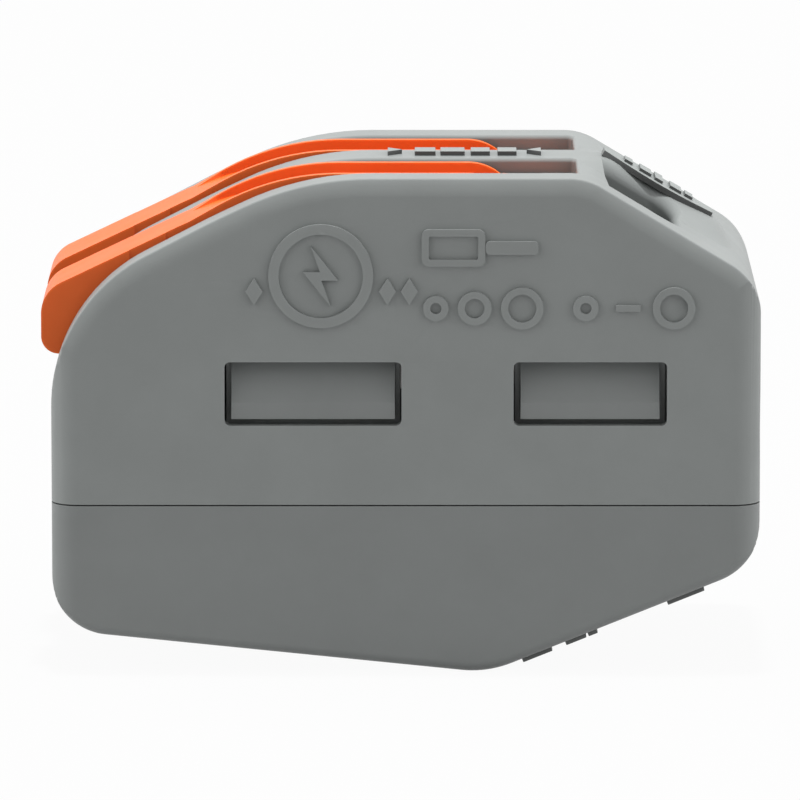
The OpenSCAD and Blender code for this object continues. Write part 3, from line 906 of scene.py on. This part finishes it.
def spring_lines():
    """Centre lines of the strip: leg, U-bend and arm in one, then the cage."""
    tilt, mid_r, bend = arm_tilt(), BEND_R - STRIP_T / 2, Vector((BEND.x, BEND.z))
    knee = Vector((-0.5, LEG[1].z - STRIP_T / 2))
    away = knee - bend
    leg_tilt = math.asin(mid_r / away.length) + math.atan2(away.y, away.x)
    foot = bend + mid_r * Vector((math.sin(leg_tilt), -math.cos(leg_tilt)))
    leg = bent([Vector((LEG[1].x, knee.y)), knee, foot], 0.8)
    first, last = 270 + math.degrees(leg_tilt), 90 + math.degrees(tilt)
    turns = 40
    leg += [bend + polar(mid_r, first + (last - first) * i / turns) for i in range(1, turns + 1)]
    cage_x = CAGE[1].x - STRIP_T / 2
    slope = math.tan(tilt)
    join = Vector((3.0, leg[-1].y + slope * (3.0 - leg[-1].x)))
    corner = Vector((cage_x, join.y + slope * (cage_x - join.x)))
    return leg + [join], bent([join, corner, Vector((cage_x, CAGE[0].z))], 0.45, 12)


def build_spring(where, material):
    """The strip is one unmoving piece from its leg round the U-bend to its arm; the cage rides on the
    clamp.
    """
    y, half = POLES[where], STRIP_W / 2
    strip_line, cage_line = spring_lines()
    strip = across("strip", strip_outline(strip_line, STRIP_T), y - half, y + half)
    soften(strip, 0.05, 50)
    finish_piece(strip, f"{where}_spring_strip", material, None)
    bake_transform(strip)
    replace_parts(strip, f"{where}_spring_leg")

    cage = across("cage", strip_outline(cage_line, STRIP_T), y - half, y + half)
    sill, head, left, right = CAGE[0].z + 0.7, 11.0, y - WINDOW_W / 2, y + WINDOW_W / 2
    corners = [(left, sill, 0.35), (left, head, 0.35), (right, head, 0.35), (right, sill, 0.35)]
    hole = loft("hole", [[(x, p.x, p.y) for p in rounded(corners, 0, 12)]
                         for x in (CAGE[1].x - 0.8, CAGE[1].x + 1)])
    combine(cage, [hole])
    soften(cage, 0.05, 50)
    finish_piece(cage, f"{where}_cage", material, f"{where}_clamp")
    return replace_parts(cage, f"{where}_spring_cage")


def build_busbar(material):
    """Cross bar with a contact tongue for each pole; the tongues have grip ribs below."""
    z0, z1 = BUSBAR[0].z, BUSBAR[1].z
    bar = block("bar", (BUSBAR[0].x, BUSBAR[0].y, z0), (1.6, BUSBAR[1].y, z1))
    for y in POLES.values():
        tongue = block("tongue", (1.2, y - 1.2, z0), (BUSBAR[1].x, y + 1.2, z1))
        grooves = [pin("groove", 2.1 + 0.5 * i, z0 - 0.08, 0.2, y - 2, y + 2, 20) for i in range(5)]
        combine(tongue, grooves)
        combine(bar, [tongue], "UNION")
    soften(bar, 0.07)
    finish_piece(bar, "busbar_strip", material, "housing")
    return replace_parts(bar, "busbar")


# ---------------------------------------------------------------- stage

def white_floor():
    """Pale floor that looks white, with a faint shadow, but throws back only a third of the light."""
    material = bpy.data.materials.new("floor_white")
    material.use_nodes = True
    add, link = node_tools(material)
    nodes = material.node_tree.nodes
    nodes["Principled BSDF"].inputs["Base Color"].default_value = (0.3, 0.3, 0.3, 1)
    nodes["Principled BSDF"].inputs["Roughness"].default_value = 0.9
    rays = add("ShaderNodeLightPath")
    seen = add("ShaderNodeMath", operation="ADD")
    link(rays.outputs["Is Camera Ray"], seen.inputs[0])
    link(rays.outputs["Is Glossy Ray"], seen.inputs[1])
    share = add("ShaderNodeMath", operation="MULTIPLY")
    share.inputs[1].default_value = 0.95
    link(seen.outputs["Value"], share.inputs[0])
    mix = add("ShaderNodeMixShader")
    link(share.outputs["Value"], mix.inputs["Fac"])
    link(nodes["Principled BSDF"].outputs["BSDF"], mix.inputs[1])
    glow = add("ShaderNodeEmission", Color=(1, 1, 1, 1), Strength=1.0)
    link(glow.outputs["Emission"], mix.inputs[2])
    link(mix.outputs["Shader"], nodes["Material Output"].inputs["Surface"])
    bm = bmesh.new()
    bmesh.ops.create_grid(bm, x_segments=8, y_segments=8, size=3.0)
    mesh = bpy.data.meshes.new("floor")
    bm.to_mesh(mesh)
    bm.free()
    floor = bpy.data.objects.new("floor", mesh)
    floor.location.z = -0.00002
    mesh.materials.append(material)
    bpy.context.scene.collection.objects.link(floor)


def soft_light(name, place, aim, size, power):
    """Round area lamp that isn't mirrored in glossy surfaces."""
    data = bpy.data.lights.new(name, "AREA")
    data.shape, data.size, data.energy = "DISK", size, power
    lamp = bpy.data.objects.new(name, data)
    lamp.location = place
    lamp.rotation_mode = "QUATERNION"
    lamp.rotation_quaternion = (Vector(aim) - Vector(place)).to_track_quat("-Z", "Y")
    lamp.visible_glossy = False
    bpy.context.scene.collection.objects.link(lamp)


def camera():
    """Long lens from the near side, a little above the object."""
    aim = Vector((-0.014, -HALF_W, 7.875)) / MM
    rise, distance = math.radians(9.5), 0.257
    data = bpy.data.cameras.new("camera")
    data.lens, data.sensor_width = 407.4, 36.0
    data.clip_start, data.clip_end = 0.01, 10.0
    cam = bpy.data.objects.new("camera", data)
    back = Vector((0, -math.cos(rise), math.sin(rise)))
    cam.location = aim + back * distance
    cam.rotation_mode = "QUATERNION"
    cam.rotation_quaternion = (-back).to_track_quat("-Z", "Y")
    bpy.context.scene.collection.objects.link(cam)
    bpy.context.scene.camera = cam


def studio():
    """White surroundings, brightest to the sides and dimmest behind the camera, and one lamp above."""
    world = bpy.data.worlds.new("studio")
    world.use_nodes = True
    nodes, link = world.node_tree.nodes, world.node_tree.links.new
    place = nodes.new("ShaderNodeTexCoord")
    parts = nodes.new("ShaderNodeSeparateXYZ")
    link(place.outputs["Generated"], parts.inputs["Vector"])
    aside = nodes.new("ShaderNodeMath")
    aside.operation = "ABSOLUTE"
    link(parts.outputs["X"], aside.inputs[0])
    total = nodes.new("ShaderNodeMath")
    ranges = ((parts.outputs["Y"], -1.0, 0.3, WORLD_FRONT, WORLD_BACK),
              (aside.outputs["Value"], 0.5, 0.9, 0.0, WORLD_SIDES))
    for i, (source, start, stop, low, high) in enumerate(ranges):
        share = nodes.new("ShaderNodeMapRange")
        share.inputs["From Min"].default_value, share.inputs["From Max"].default_value = start, stop
        share.inputs["To Min"].default_value, share.inputs["To Max"].default_value = low, high
        link(source, share.inputs["Value"])
        link(share.outputs["Result"], total.inputs[i])
    link(total.outputs["Value"], nodes["Background"].inputs["Strength"])
    nodes["Background"].inputs["Color"].default_value = (1, 1, 1, 1)
    bpy.context.scene.world = world
    soft_light("overhead", (0.0, 0.012, 0.5), (0, 0, 0.01), 0.034, OVERHEAD)
    bpy.context.scene.view_settings.view_transform = "Standard"
    white_floor()
    camera()


grey = moulded_plastic("grey_plastic", (0.192, 0.204, 0.2), (0.204, 0.217, 0.213), 0.46, edge_highlight=1.06)
base_grey = moulded_plastic("base_plastic", (0.168, 0.178, 0.175), (0.178, 0.189, 0.186), 0.46,
                            edge_highlight=1.06)
orange = moulded_plastic("orange_plastic", (0.625, 0.107, 0.017), (0.675, 0.119, 0.021), 0.42,
                         grain=0.25, scatter=0.05, specular=0.22)
foot_grey = moulded_plastic("foot_mark_plastic", (0.075, 0.08, 0.078), (0.085, 0.09, 0.088), 0.5)
# Raised marks on the rib and the plate: their dark colour is painted shade on the sides, and the lighter
# colour is painted light on the tops.
painted_light_marks = moulded_plastic("mark_plastic", (0.05, 0.052, 0.051), (0.06, 0.063, 0.062), 0.5)
paint_lit_tops(painted_light_marks, (0.21, 0.225, 0.22))
copper = plated_metal("tin_plating", (0.72, 0.71, 0.68), (0.8, 0.79, 0.77), 0.32, (0.15, 1, 1), 0.2)
steel = plated_metal("spring_steel", (0.52, 0.53, 0.54), (0.66, 0.67, 0.68), 0.26, (0.1, 1, 1), 0.25)

build_housing(grey)
build_base(base_grey)
build_foot_marks(foot_grey)
build_rib_marks(painted_light_marks)
build_name_plate(painted_light_marks)
build_busbar(copper)
for where in POLES:
    build_lever(where, orange)
    build_spring(where, steel)
studio()
